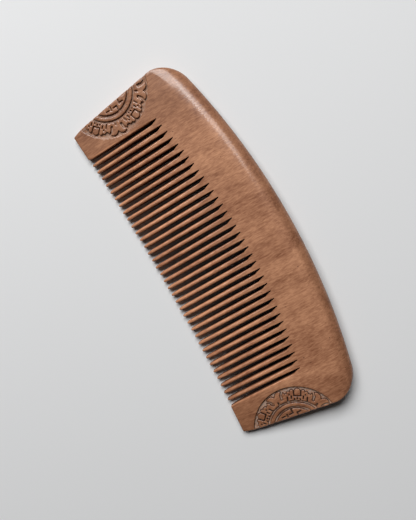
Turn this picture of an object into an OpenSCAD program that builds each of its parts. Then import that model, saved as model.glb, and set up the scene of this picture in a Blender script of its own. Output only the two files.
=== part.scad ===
// A wooden comb cut from one board. The back and the two solid ends carry
// a single row of sawn teeth, and a carved roundel is cut off by each end.
// The board is a wedge: it lies on its flat underside, thick at the spine
// and thin at the tips. X runs along the comb, +Y is towards the spine.

/* [Board] */
// Length from end to end
comb_l = 152; // [130:0.2:180]
// Width from the ends' tip-side corners to the top of the spine
comb_w = 60.7; // [54:0.1:70]
// Thickness at the spine, before it is rounded
back_t = 10; // [8:0.1:12]
// Thickness at the tips of the teeth
tip_t = 3.2; // [2.6:0.1:4]
// Radius of the long curve of the spine
spine_r = 285; // [240:1:340]
// Radius of the two corners beside the spine
corner_r = 12.6; // [8:0.2:15]
// Angle at which each end flares towards the spine
end_flare = 6.6; // [3:0.1:9]
// Width of the broken edge along the ends
edge_break = 0.5; // [0.2:0.05:0.9]
// Tilt by which a corner's rounding fades out towards the end
corner_fade = 9; // [7:0.5:12]
// How far the line of tips is hollowed at the middle
tips_hollow = 2.5; // [1.5:0.1:3.5]
// How much each solid end is cut back at its outer tip-side corner
nose_cut = 0.8; // [0.3:0.1:1.5]
// Length of that cut along the end
nose_l = 5; // [3:0.5:8]

/* [Teeth] */
// Number of gaps between the teeth
gap_n = 36; // [30:1:38]
// Distance from one tooth to the next
pitch = 3.3; // [3.1:0.05:3.4]
// How far the row of teeth sits off the middle
row_shift = -0.4; // [-1:0.1:1]
// Distance from the spine to the gaps' roots, at the middle
back_w = 20; // [18:0.5:24]
// Radius of the curve that the roots follow
root_r = 255; // [220:1:300]
// Width of a gap where it starts
gap_w = 1.42; // [1.2:0.02:1.6]
// Width of a gap just before the teeth are pointed
gap_end_w = 1.7; // [1.6:0.02:1.9]
// Width of a gap between the points
mouth_w = 2.3; // [2:0.05:2.6]
// Length over which a tooth is pointed
point_l = 3.2; // [2:0.1:5]
// Width of the narrow saw cut at a root
kerf_w = 0.55; // [0.4:0.05:0.7]
// Length of that saw cut
kerf_l = 2.6; // [1.5:0.1:4]
// Length of the slope where the saw cut opens into the gap
shoulder_l = 1; // [0.5:0.1:2]
// Width taken off a tooth's long edges
tooth_break = 0.42; // [0.2:0.02:0.5]
// Height taken off a tooth's long edges
tooth_break_h = 0.5; // [0.2:0.02:0.7]
// Height taken off the top and the underside at a tooth's tip
nose_h = 0.9; // [0.4:0.05:1.2]

/* [Roundels] */
// Radius of a carved roundel
roundel_r = 18.1; // [17.9:0.1:19]
// Distance of the roundels' centres from the spine's top line
roundel_y = 39.7; // [37:0.1:42]
// Depth of the carving
carve_d = 0.6; // [0.3:0.05:1]
// Radius of the inner field with the fret
field_r = 9.1; // [8.6:0.1:9.4]
// Inner radius of the plain ring
ring_r = 10; // [9.7:0.1:10.4]
// Width of the plain ring
ring_w = 1.5; // [1:0.1:1.7]
// Inner radius of the border ornament
border_r = 12.45; // [12.3:0.05:12.6]
// Width of the border's base, without its lobes
border_w = 2.1; // [1.8:0.05:2.3]
// Angle from one petal of the border to the next
petal_step = 71; // [69:0.5:73]

/* [Hidden] */
$fn = 64;
// Facets of the long curves where the model is shown as a mesh
fine = 900;

// Heights and slopes of the wedge
spine_y = comb_w / 2;
low_y = -spine_y;
tip_y = low_y + tips_hollow;
slope = atan((back_t - tip_t) / (spine_y - tip_y));
over = 20;
sliver = 0.02;
corner_proud = 0.25;

// Rounded rim of the spine: its circle touches both faces of the wedge
rim_r = back_t / (2 + tan(slope));

// Arcs, each given by its centre
spine_c = [0, spine_y - spine_r];
root_c = [row_shift, spine_y - back_w - root_r];

// End lines in normal form, and the corner circle tangent to spine and end
end_n = [cos(end_flare), -sin(end_flare)];
end_t = [sin(end_flare), cos(end_flare)];
corner_x = comb_l / 2 - corner_r;
corner_c = [corner_x, spine_c.y + sqrt(pow(spine_r - corner_r, 2) - pow(corner_x, 2))];
end_d = corner_c * end_n + corner_r;
spine_touch = spine_c + (corner_c - spine_c) * spine_r / (spine_r - corner_r);
end_touch = corner_c + end_n * corner_r;

function end_x(y) = (end_d - y * end_n.y) / end_n.x;

// Hollow line of tips, through the outer corners of both solid ends
nose_x = end_x(low_y) - nose_cut;
tips_r = (pow(nose_x, 2) + pow(tips_hollow, 2)) / (2 * tips_hollow);
tips_c = [0, tip_y - tips_r];
function root_y(x) = root_c.y + sqrt(pow(root_r, 2) - pow(x - root_c.x, 2));
function tips_y(x) = tips_c.y + sqrt(pow(tips_r, 2) - pow(x, 2));
function top_z(y) = back_t - (spine_y - y) * tan(slope);
function gap_x(k) = row_shift + (k - (gap_n - 1) / 2) * pitch;

// Roundels: which end, how far the centre lies beyond the end's edge, and
// the angle of one petal from the comb's long axis
ROUNDELS = [
    [-1, 5.0, 25.0],
    [ 1, 5.6, 27.3],
];
SIDE = 0;
BEYOND = 1;
TURN = 2;

// Border ornament. Lobes and cuts are bars with round ends: angle and
// radius of both ends from the roundel's centre, and the half width.
// What stands alone in a repeat: the petal on its middle line, and the
// stem between two repeats
LOBES_ALONE = [
    [ 0.0, 15.4,  0.0, 16.0, 1.35],
    [35.5, 13.7, 35.5, 14.9, 1.30],
];
// What comes in pairs, mirrored about the petal: three lobes, a scroll
// and the base under it
LOBES_PAIRED = [
    [ 8.4, 15.0,  8.2, 16.3, 0.72],
    [13.4, 14.6, 13.2, 15.7, 0.80],
    [18.6, 14.3, 18.0, 15.0, 0.80],
    [27.2, 15.3, 27.9, 15.4, 2.10],
    [22.0, 13.9, 30.0, 13.8, 0.70],
];
// Cuts alone: below the petal, in the bud, and in the stem
CUTS_ALONE = [
    [-4.9, 14.25, 4.9, 14.25, 0.18],
    [ 0.0, 13.1,  0.0, 13.3, 0.28],
    [35.5, 12.0, 35.5, 13.5, 0.30],
];
// Cuts in pairs: beside the petal, the strokes below the lobes, and the
// scroll's pocket with its mouth
CUTS_PAIRED = [
    [ 5.5, 14.3,  5.1, 17.2, 0.19],
    [10.4, 13.3,  9.8, 14.3, 0.20],
    [12.9, 14.9, 12.5, 15.1, 0.20],
    [18.8, 12.0, 16.5, 14.2, 0.20],
    [ 6.6, 12.1,  4.6, 13.1, 0.18],
    [26.6, 14.15, 25.6, 15.5, 0.50],
    [25.3, 15.75, 20.6, 17.5, 0.46],
];
A_ANGLE = 0;
A_RADIUS = 1;
B_ANGLE = 2;
B_RADIUS = 3;
HALF_W = 4;

// Fret slots in the inner field, given by their middle and size, the
// first number across the comb and the second along it
SLOTS = [
    [ 0.70, 7.10, 2.00, 0.42],
    [ 1.45, 8.30, 0.50, 2.80],
    [-1.10, 6.80, 0.50, 1.80],
    [-2.80, 7.15, 1.70, 0.42],
    [ 4.00, 6.60, 1.70, 0.42],
    [ 3.10, 5.95, 0.48, 1.80],
];
ACROSS = 0;
ALONG = 1;
SLOT_W = 2;
SLOT_L = 3;

function polar(radius, angle) = [radius * cos(angle), radius * sin(angle)];

// Plan of the board: spine disc and straight ends, less the two corners'
// waste and the hollow line of tips
module outline() {
    difference() {
        intersection() {
            translate(spine_c) circle(spine_r, $fn = fine);
            polygon([for (p = half_plan()) p, for (p = flipped(half_plan())) p]);
        }
        both_sides() corner_waste();
        translate(tips_c) circle(tips_r, $fn = fine);
    }
}

// Right half of the straight-sided plan, from above the spine down
function half_plan() = [
    [end_x(spine_y + over), spine_y + over],
    [end_x(low_y + nose_l), low_y + nose_l],
    [nose_x, low_y],
    [nose_x, low_y - sliver],
];
function flipped(points) = [for (i = [len(points) - 1 : -1 : 0]) [-points[i].x, points[i].y]];

// Sector of the plan that holds a corner, between its two points of touch
module corner_sector() {
    to_spine = (spine_touch - corner_c) * 1.5;
    to_end = (end_touch - corner_c) * 1.5;
    polygon([corner_c, corner_c + to_spine, corner_c + to_spine + to_end, corner_c + to_end]);
}

// What lies outside the corner circle
module corner_waste() {
    difference() {
        corner_sector();
        translate(corner_c) circle(corner_r);
    }
}

// Wedge between the flat underside and the sloping top
module wedge() {
    rotate([90, 0, 90])
        linear_extrude(comb_l + over, center = true)
            polygon([
                [low_y - over, 0],
                [spine_y + over, 0],
                [spine_y + over, top_z(spine_y + over)],
                [low_y - over, top_z(low_y - over)],
            ]);
}

// Places a shape that is drawn on a level sheet in the middle plane of
// the wedge
module in_middle_plane() {
    translate([0, spine_y, back_t / 2])
        rotate([slope / 2, 0, 0])
            translate([0, -spine_y, 0])
                children();
}

// Disc of the spine, with a half-round rim
module rounded_disc() {
    in_middle_plane()
        translate(spine_c)
            rotate_extrude($fn = fine) {
                translate([0, -rim_r]) square([spine_r - rim_r, 2 * rim_r]);
                translate([spine_r - rim_r, 0]) circle(rim_r);
            }
}

// Section of a corner's disc, with the rim rounded above the middle plane
// and straight below it. The disc stands proud of the corner, so the two
// surfaces cross and don't just touch.
module corner_section() {
    radius = corner_r + corner_proud;
    translate([0, -back_t]) square([radius, back_t]);
    square([radius - rim_r, rim_r]);
    intersection() {
        translate([radius - rim_r, 0]) circle(rim_r);
        translate([radius - rim_r, 0]) square(rim_r + corner_proud);
    }
}

// What the rounding takes off one face of a corner. The rounded disc is
// tilted about the line to the spine, so the rounding fades at the end.
module corner_shaving() {
    clear_h = 0.9;
    difference() {
        translate([0, 0, clear_h]) linear_extrude(back_t) corner_sector();
        translate(corner_c)
            rotate(a = -corner_fade, v = spine_touch - corner_c)
                rotate_extrude($fn = 128) corner_section();
    }
}

// Broken edge of one end, on a level face at height 0. It starts past the
// corner's point of touch, where the end line is clear of the board.
module end_break() {
    translate(end_touch + end_t * corner_r / 2)
        rotate([90, 0, -end_flare])
            linear_extrude(comb_w)
                polygon([
                    [-edge_break - sliver, sliver],
                    [edge_break, sliver],
                    [edge_break, -edge_break - sliver],
                    [0, -edge_break - sliver],
                ]);
}

module both_sides() {
    for (side = [0, 1]) mirror([side, 0, 0]) children();
}

module blank() {
    difference() {
        intersection() {
            wedge();
            linear_extrude(back_t + over) outline();
            rounded_disc();
        }
        in_middle_plane()
            for (face = [0, 1]) mirror([0, 0, face]) both_sides() corner_shaving();
        translate([0, 0, top_z(0)]) rotate([slope, 0, 0]) both_sides() end_break();
        mirror([0, 0, 1]) both_sides() end_break();
    }
}

// One gap, seen from above: saw cut, shoulder, long sides and mouth
module gap_plan(x) {
    root = root_y(x);
    tip = tips_y(x);
    left = -gap_w / 2;
    widen = (gap_end_w - gap_w) / 2;
    past = 2;
    mouth = (mouth_w + (mouth_w - gap_end_w) * past / point_l) / 2;
    polygon([
        [left, root],
        [left + kerf_w, root],
        [left + kerf_w, root - kerf_l],
        [gap_w / 2, root - kerf_l - shoulder_l],
        [gap_w / 2 + widen, tip + point_l],
        [mouth, tip - past],
        [-mouth, tip - past],
        [left - widen, tip + point_l],
        [left, root - kerf_l],
    ]);
}

// Trough that breaks the long edges on both sides of a gap, on a level
// face at height 0
module gap_trough(x) {
    start = root_y(x) - kerf_l - shoulder_l - tooth_break;
    half = gap_w / 2 + tooth_break;
    translate([0, start, 0])
        rotate([90, 0, 0])
            linear_extrude(start - tips_y(x) + over)
                polygon([[-half, sliver], [half, sliver], [half - tooth_break, -tooth_break_h],
                         [tooth_break - half, -tooth_break_h]]);
}

module gaps() {
    for (k = [0 : gap_n - 1]) {
        x = gap_x(k);
        translate([x, 0, 0]) {
            translate([0, 0, -1]) linear_extrude(back_t + 2) gap_plan(x);
            translate([0, 0, top_z(0)]) rotate([slope, 0, 0]) gap_trough(x);
            mirror([0, 0, 1]) gap_trough(x);
        }
    }
}

// Bar between two round ends, a little slimmer than they are
module bar(a, b, half_w) {
    along = b - a;
    waist = 0.88 * half_w;
    for (p = [a, b]) translate(p) circle(half_w);
    translate(a)
        rotate(atan2(along.y, along.x))
            translate([0, -waist]) square([norm(along), 2 * waist]);
}

module bars(rows) {
    for (row = rows)
        bar(polar(row[A_RADIUS], row[A_ANGLE]), polar(row[B_RADIUS], row[B_ANGLE]), row[HALF_W]);
}

// The three repeats of the border that the board has room for, with the
// bars that stand alone and those that come in pairs
module repeats(turn, alone, paired) {
    for (k = [-1 : 1])
        rotate(turn + k * petal_step) {
            bars(alone);
            for (half = [0, 1]) mirror([0, half]) bars(paired);
        }
}

module ring(inner_r, width) {
    difference() {
        circle(inner_r + width);
        circle(inner_r);
    }
}

module border(turn) {
    difference() {
        union() {
            ring(border_r, border_w);
            repeats(turn, LOBES_ALONE, LOBES_PAIRED);
        }
        repeats(turn, CUTS_ALONE, CUTS_PAIRED);
    }
}

module field() {
    difference() {
        circle(field_r);
        for (row = SLOTS)
            translate([row[ALONG] - row[SLOT_L] / 2, row[ACROSS] - row[SLOT_W] / 2])
                square([row[SLOT_L], row[SLOT_W]]);
    }
}

// What the carver takes out of one roundel
module carving(side, beyond, turn) {
    centre_y = spine_y - roundel_y;
    translate([side * (end_x(centre_y) + beyond), centre_y, top_z(centre_y)])
        rotate([slope, 0, 0])
            mirror([max(side, 0), 0, 0])
                translate([0, 0, -carve_d])
                    linear_extrude(carve_d + 2)
                        difference() {
                            circle(roundel_r);
                            field();
                            ring(ring_r, ring_w);
                            border(turn);
                        }
}

// Wedges that thin the tips of the teeth, between the two solid ends
module tip_noses() {
    span = gap_x(gap_n - 1) - gap_x(0);
    length = point_l + nose_h;
    past = 2;
    for (face = [0, 1])
        translate([0, 0, face * tip_t])
            mirror([0, 0, face])
                intersection() {
                    translate([tips_c.x, tips_c.y, 0])
                        rotate_extrude($fn = fine)
                            polygon([
                                [tips_r - past, -1],
                                [tips_r + length, -1],
                                [tips_r + length, 0],
                                [tips_r - past, nose_h * (length + past) / length],
                            ]);
                    translate([row_shift - span / 2, low_y - over, -2]) cube([span, comb_w, 6]);
                }
}

module comb() {
    color([0.62, 0.43, 0.33])
        difference() {
            blank();
            gaps();
            for (row = ROUNDELS) carving(row[SIDE], row[BEYOND], row[TURN]);
            tip_noses();
        }
}

comb();
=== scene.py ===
"""A wooden comb with two carved roundels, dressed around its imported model.

The board is meshed from its outline, with rounded edges and the carving in
relief. The row of teeth is one drawn tooth, repeated by Geometry Nodes.
Plan work is in millimetres, and every mesh ends in metres.
"""

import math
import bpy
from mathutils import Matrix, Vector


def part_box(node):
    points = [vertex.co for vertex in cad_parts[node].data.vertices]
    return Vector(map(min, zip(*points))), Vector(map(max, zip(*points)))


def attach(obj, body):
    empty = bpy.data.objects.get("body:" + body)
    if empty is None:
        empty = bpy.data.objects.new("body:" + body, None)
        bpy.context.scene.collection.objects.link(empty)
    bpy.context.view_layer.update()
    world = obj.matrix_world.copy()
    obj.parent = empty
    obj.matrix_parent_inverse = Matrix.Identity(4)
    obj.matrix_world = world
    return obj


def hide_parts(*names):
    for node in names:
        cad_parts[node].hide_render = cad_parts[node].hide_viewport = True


bl_info = {
    "name": "Carved Wooden Comb",
    "version": (1, 0, 0),
    "blender": (4, 5, 0),
    "location": "View3D > Sidebar > Comb",
    "description": "Makes a one-piece wooden comb with carved roundels, and the studio around it",
    "category": "Add Mesh",
}

import bmesh
import bpy
import numpy as np
from bpy.props import FloatProperty, FloatVectorProperty, IntProperty, PointerProperty
from bpy.types import Operator, Panel, PropertyGroup
from mathutils import Matrix, Vector
from mathutils.geometry import delaunay_2d_cdt

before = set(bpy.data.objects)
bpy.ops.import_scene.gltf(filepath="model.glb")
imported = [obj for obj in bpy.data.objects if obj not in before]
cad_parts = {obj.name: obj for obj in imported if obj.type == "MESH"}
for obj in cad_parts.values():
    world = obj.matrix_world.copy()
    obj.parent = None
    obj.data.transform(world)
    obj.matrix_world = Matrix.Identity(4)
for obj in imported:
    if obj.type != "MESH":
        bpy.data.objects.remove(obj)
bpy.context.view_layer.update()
COMB_LOW, COMB_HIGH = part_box("comb")

MM = 1000.0  # millimetres in a metre
PIECE = "comb_wood"

# Roundels: which end, how far the centre lies beyond the end's edge, and
# the angle of one petal from the comb's long axis
ROUNDELS = ((-1, 5.0, 25.0), (1, 5.6, 27.3))

# Border ornament. Lobes and cuts are bars with round ends: angle and
# radius of both ends from the roundel's centre, and the half width
LOBES_ALONE = (
    (0.0, 15.4, 0.0, 16.0, 1.35),
    (35.5, 13.7, 35.5, 14.9, 1.30),
)
LOBES_PAIRED = (
    (8.4, 15.0, 8.2, 16.3, 0.72),
    (13.4, 14.6, 13.2, 15.7, 0.80),
    (18.6, 14.3, 18.0, 15.0, 0.80),
    (27.2, 15.3, 27.9, 15.4, 2.10),
    (22.0, 13.9, 30.0, 13.8, 0.70),
)
CUTS_ALONE = (
    (-4.9, 14.25, 4.9, 14.25, 0.18),
    (0.0, 13.1, 0.0, 13.3, 0.28),
    (35.5, 12.0, 35.5, 13.5, 0.30),
)
CUTS_PAIRED = (
    (5.5, 14.3, 5.1, 17.2, 0.19),
    (10.4, 13.3, 9.8, 14.3, 0.20),
    (12.9, 14.9, 12.5, 15.1, 0.20),
    (18.8, 12.0, 16.5, 14.2, 0.20),
    (6.6, 12.1, 4.6, 13.1, 0.18),
    (26.6, 14.15, 25.6, 15.5, 0.50),
    (25.3, 15.75, 20.6, 17.5, 0.46),
)
# Fret slots of the inner field: place across and along the comb, then size
SLOTS = (
    (0.70, 7.10, 2.00, 0.42),
    (1.45, 8.30, 0.50, 2.80),
    (-1.10, 6.80, 0.50, 1.80),
    (-2.80, 7.15, 1.70, 0.42),
    (4.00, 6.60, 1.70, 0.42),
    (3.10, 5.95, 0.48, 1.80),
)


# --------------------------------------------------------------- sizes


def distance(name, description, default):
    """A length in metres, shown in the sidebar with its unit."""
    return FloatProperty(
        name=name, description=description, default=default, precision=5, subtype="DISTANCE", unit="LENGTH"
    )


def share(name, description, default):
    """A plain number from none to all."""
    return FloatProperty(name=name, description=description, default=default, min=0.0, max=1.0)


def power(name, description, default):
    """How strong a light is."""
    return FloatProperty(name=name, description=description, default=default)


def bearing(name, description, degrees):
    """An angle, shown in the sidebar in degrees."""
    return FloatProperty(
        name=name, description=description, default=math.radians(degrees), subtype="ANGLE", unit="ROTATION"
    )


def colour(name, description, default):
    """A colour, as linear red, green and blue."""
    return FloatVectorProperty(
        name=name, description=description, default=default, size=3, min=0.0, max=1.0, subtype="COLOR"
    )


class BoardSizes(PropertyGroup):
    """Sizes of the board that the comb is sawn from."""

    length: distance("Length", "Length from end to end", COMB_HIGH.x - COMB_LOW.x)
    width: distance("Width", "Width from the tip-side corners to the top of the spine", 0.0607)
    back_thickness: distance("Back thickness", "Thickness at the spine, before it is rounded", 0.010)
    tip_thickness: distance("Tip thickness", "Thickness at the tips of the teeth", 0.0032)
    spine_radius: distance("Spine radius", "Radius of the long curve of the spine", 0.285)
    corner_radius: distance("Corner radius", "Radius of the two corners beside the spine", 0.0126)
    end_flare: bearing("End flare", "Angle at which each end flares towards the spine", 6.6)
    tips_hollow: distance("Tips' hollow", "How far the line of tips is hollowed at the middle", 0.0025)
    nose_cut: distance("Nose cut", "How much each solid end is cut back at its outer corner", 0.0008)
    nose_length: distance("Nose length", "Length of that cut along the end", 0.005)
    rim: distance("Spine rounding", "Width of the rounded edge of the spine, seen from above", 0.0082)
    edge: distance("Edge rounding", "Radius of the broken edges along the ends", 0.00045)
    wall_edge: distance("Wall rounding", "Radius of the edges beside the outer gaps", 0.00038)


class TeethSizes(PropertyGroup):
    """Sizes of the gaps and teeth."""

    gaps: IntProperty(name="Gaps", description="Number of gaps between the teeth", default=36, min=2)
    pitch: distance("Pitch", "Distance from one tooth to the next", 0.0033)
    shift: distance("Row shift", "How far the row of teeth sits off the middle", -0.0004)
    back_width: distance("Back width", "Distance from the spine to the gaps' roots", 0.020)
    root_radius: distance("Root radius", "Radius of the curve that the roots follow", 0.255)
    gap: distance("Gap", "Width of a gap where it starts", 0.00142)
    gap_end: distance("Gap's end", "Width of a gap just before the teeth are pointed", 0.0017)
    mouth: distance("Mouth", "Width of a gap between the points", 0.0023)
    point_length: distance("Point length", "Length over which a tooth is pointed", 0.0032)
    kerf_root: distance("Saw cut's end", "Width of the saw cut where it starts, at the root", 0.0004)
    kerf: distance("Saw cut", "Width of the saw cut before it opens into the gap", 0.001)
    kerf_length: distance("Saw cut's length", "Length of that saw cut", 0.002)
    shoulder: distance("Shoulder", "Length of the slope where the saw cut opens", 0.0009)
    lean: distance("Lean", "Most that a tooth's tip leans to one side", 0.00007)
    uneven: distance("Unevenness", "Most that a tooth's tip is longer or shorter", 0.00012)
    seed: IntProperty(name="Seed", description="Seed of the lean and unevenness", default=7)


class RoundelSizes(PropertyGroup):
    """Sizes of the two carved roundels."""

    radius: distance("Radius", "Radius of a carved roundel", 0.0181)
    below_spine: distance("Place", "Distance of the centres from the spine's top line", 0.0397)
    depth: distance("Depth", "Depth of the carving", 0.00085)
    field_radius: distance("Field", "Radius of the inner field with the fret", 0.0091)
    ring_radius: distance("Ring", "Inner radius of the plain ring", 0.010)
    ring_width: distance("Ring's width", "Width of the plain ring", 0.0015)
    border_radius: distance("Border", "Inner radius of the border ornament", 0.01245)
    border_width: distance("Border's width", "Width of the border's base, without its lobes", 0.0021)
    petal_step: bearing("Petal step", "Angle from one petal of the border to the next", 71.0)


class WoodLook(PropertyGroup):
    """Colours and finish of the wood."""

    light: colour("Light wood", "Colour of the lighter fibres", (0.60, 0.295, 0.160))
    dark: colour("Dark wood", "Colour of the darker fibres", (0.19, 0.062, 0.026))
    fleck: colour("Flecks", "Colour of the pores and flecks", (0.085, 0.032, 0.018))
    dust: colour("Dust", "Colour of the dust left in the carving", (0.40, 0.32, 0.27))
    dust_share: share("Dustiness", "How far the dust covers the carved floors", 0.75)
    # painted shade: how far the carved walls and the walls between the teeth are darkened where shadow falls
    painted_shade: share("Painted shade", "How far the walls of the carving and the gaps are darkened", 0.9)
    roughness: share("Roughness", "Roughness of the oiled surface", 0.55)
    coat: share("Polish", "Strength of the polished layer", 0.75)


class StageLook(PropertyGroup):
    """Floor, light and camera."""

    floor: colour("Floor", "Colour of the pale floor", (0.75, 0.755, 0.76))
    light_distance: distance("Lights' distance", "Distance of the soft lights", 1.15)
    key_power: power("Key light", "Power of the large soft light", 17.7)
    key_bearing: bearing("Key bearing", "Direction of the large soft light, from the +X end", 172)
    key_height: bearing("Key height", "Angle of the large soft light above the floor", 50)
    key_width: distance("Key width", "Level side of the large soft light", 1.04)
    key_depth: distance("Key depth", "Other side of the large soft light", 0.60)
    rim_power: power("Rim light", "Power of the light for the gloss alone", 2.7)
    rim_bearing: bearing("Rim bearing", "Direction of the small soft light, from the +X end", 123)
    rim_height: bearing("Rim height", "Angle of the small soft light above the floor", 51)
    rim_width: distance("Rim width", "Level side of the small soft light", 0.40)
    rim_depth: distance("Rim depth", "Other side of the small soft light", 0.33)
    sky: power("Sky", "Strength of the even light all round", 0.022)


# ---------------------------------------------------------------- plan


class Plan:
    """The comb's outline in millimetres, worked out from the sizes."""

    def __init__(self, board, teeth):
        self.half_l = board.length * MM / 2
        self.spine_y = board.width * MM / 2
        self.low_y = -self.spine_y
        hollow = board.tips_hollow * MM
        self.tip_y = self.low_y + hollow
        self.back_t = board.back_thickness * MM
        self.tip_t = board.tip_thickness * MM
        self.slope = (self.back_t - self.tip_t) / (self.spine_y - self.tip_y)
        self.spine_r = board.spine_radius * MM
        self.spine_c = np.array([0.0, self.spine_y - self.spine_r])
        flare = board.end_flare
        self.end_n = np.array([math.cos(flare), -math.sin(flare)])
        self.corner_r = board.corner_radius * MM
        corner_x = self.half_l - self.corner_r
        reach = self.spine_r - self.corner_r
        self.corner_c = np.array([corner_x, self.spine_c[1] + math.sqrt(reach**2 - corner_x**2)])
        self.end_d = self.corner_c @ self.end_n + self.corner_r
        self.spine_touch = self.spine_c + (self.corner_c - self.spine_c) * self.spine_r / reach
        self.end_touch = self.corner_c + self.end_n * self.corner_r
        self.nose = np.array([self.end_x(self.low_y) - board.nose_cut * MM, self.low_y])
        over_nose = self.low_y + board.nose_length * MM
        self.shoulder = np.array([self.end_x(over_nose), over_nose])
        self.tips_r = (self.nose[0] ** 2 + hollow**2) / (2 * hollow)
        self.tips_cy = self.tip_y - self.tips_r
        self.rim = board.rim * MM
        self.edge = board.edge * MM
        self.wall_edge = board.wall_edge * MM

        self.gap_n = teeth.gaps
        self.pitch = teeth.pitch * MM
        self.shift = teeth.shift * MM
        self.root_r = teeth.root_radius * MM
        self.root_cy = self.spine_y - teeth.back_width * MM - self.root_r
        self.gap_w = teeth.gap * MM
        self.gap_end_w = teeth.gap_end * MM
        self.mouth_w = teeth.mouth * MM
        self.point_l = teeth.point_length * MM
        self.kerf_root = teeth.kerf_root * MM
        self.kerf_w = teeth.kerf * MM
        self.kerf_l = teeth.kerf_length * MM
        self.shoulder_l = teeth.shoulder * MM

    def end_x(self, y):
        """Where the +X end's edge is, at a height in the plan."""
        return (self.end_d - y * self.end_n[1]) / self.end_n[0]

    def root_y(self, x):
        """The line of the gaps' roots."""
        return self.root_cy + np.sqrt(self.root_r**2 - (x - self.shift) ** 2)

    def under_root(self, x, down):
        """A point at a distance below the line of the roots."""
        return x, self.root_y(x) - down

    def tips_y(self, x):
        """The hollow line of the tips."""
        return self.tips_cy + np.sqrt(self.tips_r**2 - x**2)

    def top_z(self, y):
        """Height of the sloping top."""
        return self.back_t - (self.spine_y - y) * self.slope

    def gap_x(self, k):
        """Middle of a gap, counted from the -X end."""
        return self.shift + (k - (self.gap_n - 1) / 2) * self.pitch


FAR = 99.0  # further than anything in the plan
SECTION = 1.6  # power of the rounded edges' section, where 2 is a quarter of an ellipse
SHARPEST = 0.06  # walls lower than this are closed up, as along the spine
OPEN_EDGE = 0.001  # width of an edge that isn't rounded
SPINE_POINTS = 72  # points along the spine, and round each corner beside it
CORNER_POINTS = 22
NOSE_R = 0.7  # radii of the outline's small corners at the solid ends' feet
FOOT_R = 0.5
OUTLINE_STEP = 1.6  # longest piece of the outline, and of the part where carving meets it
CARVED_STEP = 0.45
PLANE_STEP = 3.5  # distance between the points on the plane part of a face
PLANE_CLEAR = 0.8  # least distance from them to a rounding or a roundel
RELIEF_STEP = 0.16  # step of the grid on which the lines of the carving are found
RELIEF_CLEAR = 1.0  # how far beyond a roundel that grid reaches
RING_TURN = 9.0  # degrees that a rounded edge turns from ring to ring
LAST_RING = 0.12  # how far inside the rounding the last ring lies
THIN_EDGE = 0.03  # a rounding this wide or less gets no rings
WIDE_EDGE = 1.5  # a wider one gets them all, and those between get every third
SEAM = 0.6  # how far above the roots the teeth's mesh meets the board's
NEAR = 1e-3  # how far off that line a point may be to count as on it
WELD = 1.5e-6  # distance in metres at which the points of both become one
KEPT = 4.2  # length at a tooth's root and at its tip that isn't stretched
UNIT = 36.0  # length of the drawn tooth
CODE = 2.0  # height that marks a point of the drawn tooth as top or underside
SHARP = 38  # degrees between two faces from which their edge is sharp
END_SHARE = 0.45  # share of the carving's depth that is left at the comb's end
END_RUN = 2.5  # distance from the end over which it reaches its full depth
# Section of a carved edge: distance into the raised wood, and share of the
# full depth there
CARVED_AT = (-0.26, -0.10, 0.02, 0.12, 0.32)
CARVED_SHARE = (1.0, 0.95, 0.20, 0.07, 0.0)


def arc(centre, radius, start, end, count):
    """Points along an arc, from one angle to another."""
    angle = np.linspace(start, end, count)
    return np.stack([centre[0] + radius * np.cos(angle), centre[1] + radius * np.sin(angle)], 1)


def angle_of(point, centre):
    """Angle of a point seen from a centre."""
    return math.atan2(point[1] - centre[1], point[0] - centre[0])


def rounded_corner(before, corner, after, radius, count=5):
    """A corner of the outline, replaced by a small arc."""
    a = np.subtract(before, corner)
    b = np.subtract(after, corner)
    a /= np.linalg.norm(a)
    b /= np.linalg.norm(b)
    half = math.acos(float(a @ b)) / 2
    middle = (a + b) / np.linalg.norm(a + b)
    centre = np.add(corner, middle * radius / math.sin(half))
    start = np.add(corner, a * radius / math.tan(half))
    end = np.add(corner, b * radius / math.tan(half))
    from_a, to_b = angle_of(start, centre), angle_of(end, centre)
    if to_b - from_a > math.pi:
        to_b -= 2 * math.pi
    if to_b - from_a < -math.pi:
        to_b += 2 * math.pi
    return arc(centre, radius, from_a, to_b, count)


def smooth(t):
    """Eases from 0 to 1."""
    t = np.clip(t, 0, 1)
    return t * t * (3 - 2 * t)


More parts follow.
